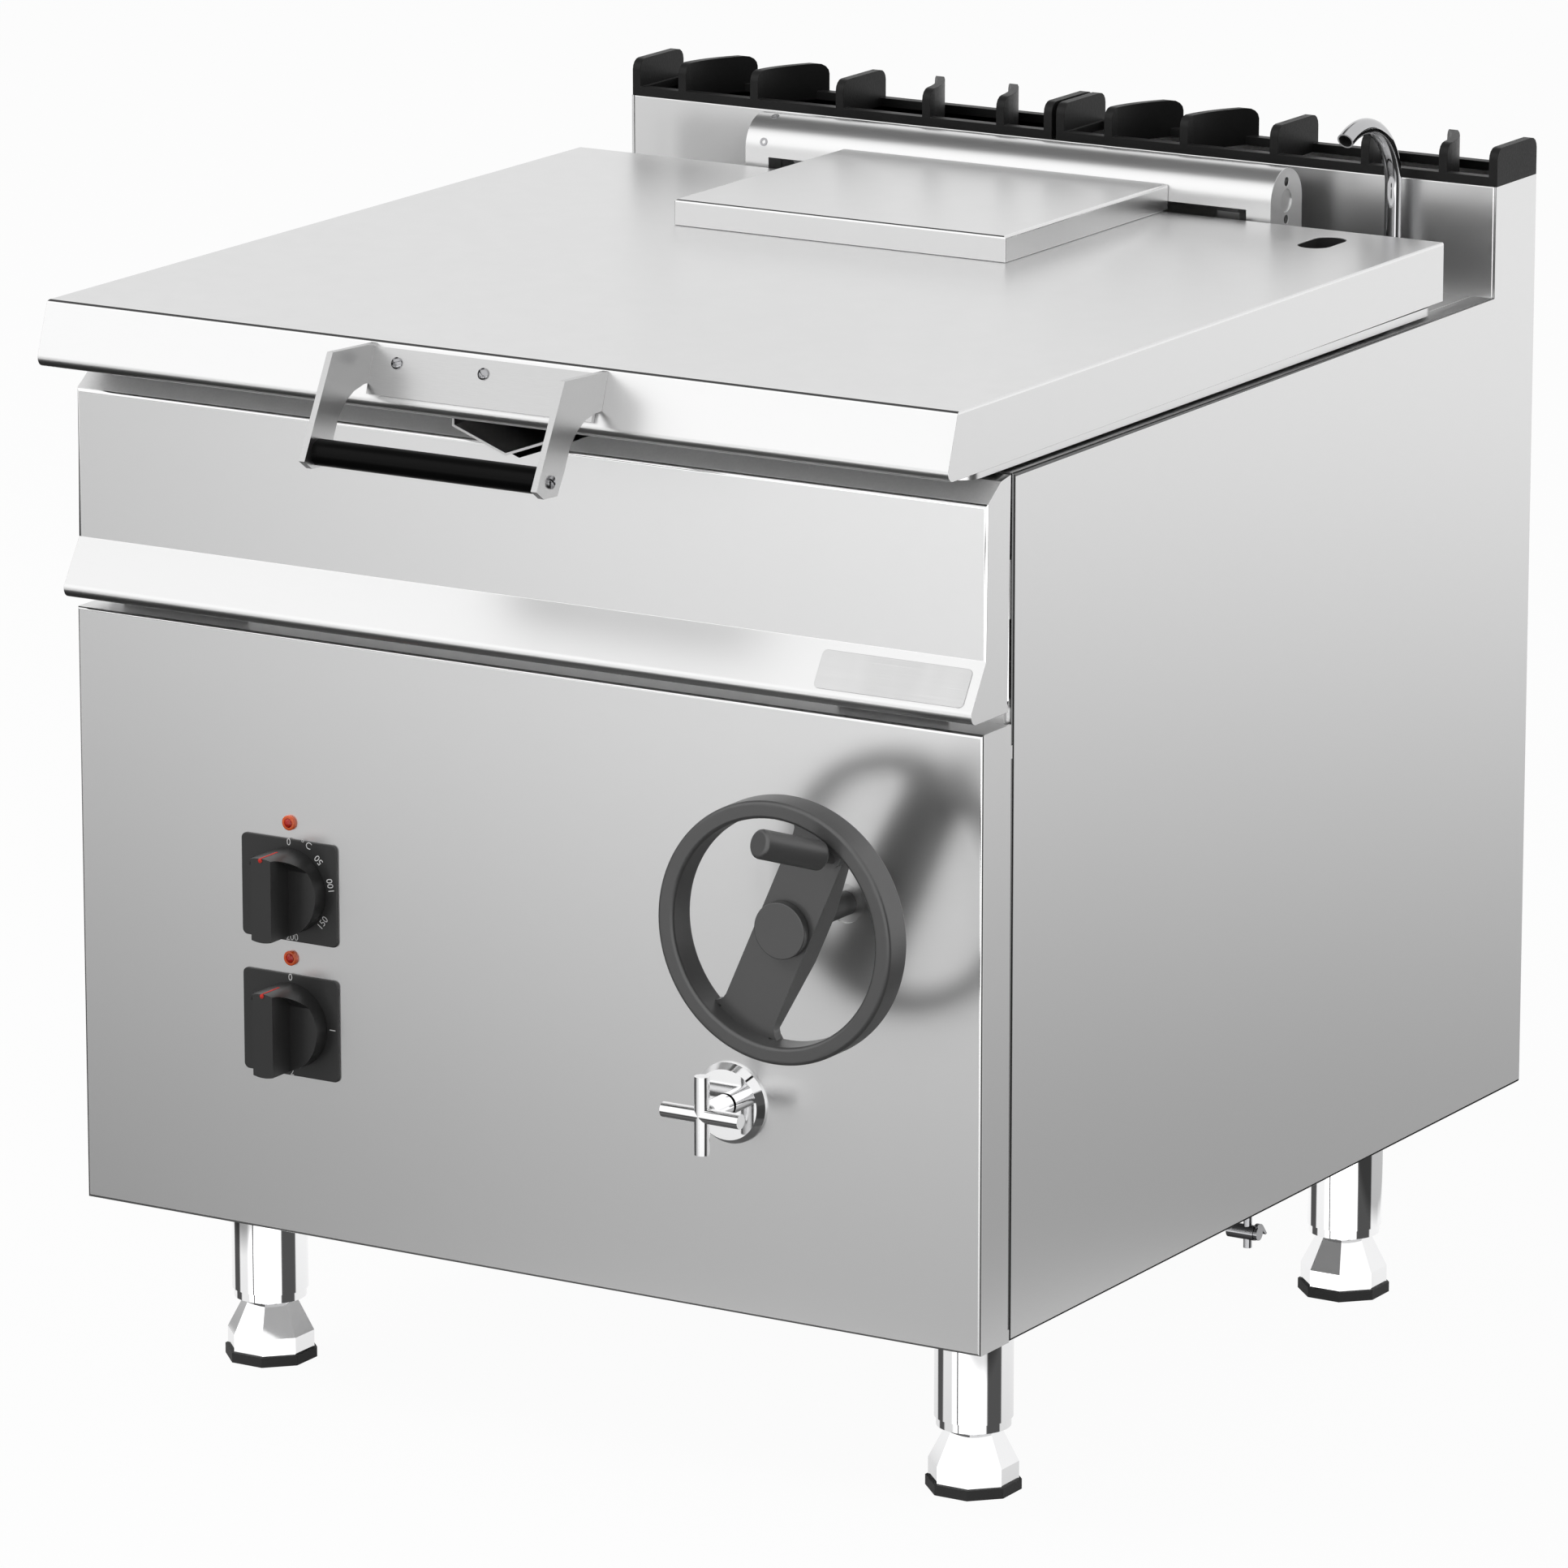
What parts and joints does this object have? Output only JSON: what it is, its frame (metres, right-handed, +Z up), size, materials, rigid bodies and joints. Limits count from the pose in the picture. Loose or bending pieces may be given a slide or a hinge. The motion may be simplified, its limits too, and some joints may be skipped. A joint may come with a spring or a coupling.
{
  "type": "tilting bratt pan",
  "caption": "Free-standing tilting bratt pan: steel cabinet on levelling legs, tub tilted by a front handwheel, hinged lid with a bar handle, and a swan-neck water tap.",
  "frame": {"origin": "on the floor under the middle of the whole object, midway between the crank grip tip and the back panel", "axes": "+X to the right seen from the front, +Y from the front to the back, +Z up"},
  "size_m": [0.8, 1.0292, 0.9527],
  "materials": {
    "satin_steel": "satin stainless sheet",
    "inner_steel": "ground steel",
    "chrome": "polished",
    "black_plastic": "matte dark grey",
    "cast_iron": "black",
    "brass": "plain",
    "lamp_red": "clear red",
    "rubber": "matte",
    "element_steel": "heat-darkened sheath"
  },
  "bodies": {
    "cabinet": {"side_panel_left": "satin_steel", "side_panel_right": "satin_steel", "base_tray": "satin_steel", "back_panel": "satin_steel", "flue_upstand": "satin_steel", "rear_deck": "satin_steel", "lower_front_panel": "satin_steel", "upper_front_panel": "satin_steel", "vent_channel": "satin_steel", "frame_rails": "inner_steel", "pivot_bearings": "inner_steel", "flue_grate_left": "cast_iron", "flue_grate_right": "cast_iron", "dial_plates": "black_plastic", "indicator_lamps": "lamp_red", "control_units": "black_plastic", "terminal_box": "black_plastic", "cable_gland": "black_plastic", "valve_rosette": "chrome", "water_valve_body": "brass", "water_pipe": "brass", "tap_base": "chrome", "swan_neck_tap": "chrome", "drain_valve_body": "chrome", "leg_tubes": "chrome", "wheel_bearing": "inner_steel", "gearbox_housing": "cast_iron"},
    "pan": {"pan_casing": "satin_steel", "pan_tub": "inner_steel", "pan_rim": "satin_steel", "pouring_spout": "inner_steel", "heating_elements": "element_steel", "tilt_quadrant": "inner_steel", "pivot_brackets": "inner_steel", "hinge_posts": "satin_steel"},
    "lid": {"lid_shell": "satin_steel", "lid_liner": "inner_steel", "lid_hinge_box": "satin_steel", "hinge_cover": "satin_steel", "hinge_shaft": "inner_steel", "lid_handle_bracket": "inner_steel", "lid_handle_grip": "black_plastic", "handle_screws": "chrome"},
    "wheel": {"handwheel": "black_plastic", "hub_cap": "black_plastic", "wheel_shaft": "black_plastic"},
    "crank": {"crank_grip": "black_plastic"},
    "pinion": {"output_pinion": "inner_steel"},
    "thermostat": {"thermostat_knob": "black_plastic"},
    "selector": {"selector_knob": "black_plastic"},
    "water_handle": {"water_valve_handle": "chrome"},
    "lever": {"drain_lever": "chrome"},
    "levelling_front_left": {"foot_front_left": "chrome", "pad_front_left": "rubber"},
    "levelling_front_right": {"foot_front_right": "chrome", "pad_front_right": "rubber"},
    "levelling_rear_left": {"foot_rear_left": "chrome", "pad_rear_left": "rubber"},
    "levelling_rear_right": {"foot_rear_right": "chrome", "pad_rear_right": "rubber"}
  },
  "joints": [
    {"name": "pan_tilt", "type": "hinge", "parent": "cabinet", "child": "pan", "pos_m": [0, -0.33261, 0.72], "axis": [1, 0, 0], "range_deg": [0, 75]},
    {"name": "lid_hinge", "type": "hinge", "parent": "pan", "child": "lid", "pos_m": [0, 0.39239, 0.8775], "axis": [-1, 0, 0], "range_deg": [0, 80]},
    {"name": "handwheel_turn", "type": "hinge", "parent": "cabinet", "child": "wheel", "pos_m": [0.284, -0.43561, 0.479], "axis": [0, 1, 0], "range_deg": [0, 9600]},
    {"name": "pinion_turn", "type": "hinge", "parent": "cabinet", "child": "pinion", "pos_m": [0.369, 0.25796, 0.64749], "axis": [1, 0, 0], "range_deg": [-1200, 0]},
    {"name": "crank_spin", "type": "hinge", "parent": "wheel", "child": "crank", "pos_m": [0.3285, -0.45561, 0.5426], "axis": [-0.3654, -0.8796, 0.3045], "continuous": true},
    {"name": "thermostat_turn", "type": "hinge", "parent": "cabinet", "child": "thermostat", "pos_m": [-0.206, -0.37061, 0.4227], "axis": [0, 1, 0], "range_deg": [0, 200]},
    {"name": "selector_turn", "type": "hinge", "parent": "cabinet", "child": "selector", "pos_m": [-0.206, -0.37061, 0.3166], "axis": [0, 1, 0], "range_deg": [0, 180]},
    {"name": "water_valve_turn", "type": "hinge", "parent": "cabinet", "child": "water_handle", "pos_m": [0.186, -0.39461, 0.313], "axis": [0, 1, 0], "range_deg": [-720, 0]},
    {"name": "drain_lever_turn", "type": "hinge", "parent": "cabinet", "child": "lever", "pos_m": [0.3376, 0.18639, 0.0965], "axis": [1, 0, 0], "range_deg": [0, 90]},
    {"name": "front_left_foot_screw", "type": "slide", "parent": "cabinet", "child": "levelling_front_left", "axis": [0, 0, -1], "range_m": [0, 0.03]},
    {"name": "front_right_foot_screw", "type": "slide", "parent": "cabinet", "child": "levelling_front_right", "axis": [0, 0, -1], "range_m": [0, 0.03]},
    {"name": "rear_left_foot_screw", "type": "slide", "parent": "cabinet", "child": "levelling_rear_left", "axis": [0, 0, -1], "range_m": [0, 0.03]},
    {"name": "rear_right_foot_screw", "type": "slide", "parent": "cabinet", "child": "levelling_rear_right", "axis": [0, 0, -1], "range_m": [0, 0.03]}
  ],
  "couplings": [
    {"joint": "pinion_turn", "follows": "pan_tilt", "ratio": -16},
    {"joint": "handwheel_turn", "follows": "pan_tilt", "ratio": 128}
  ]
}
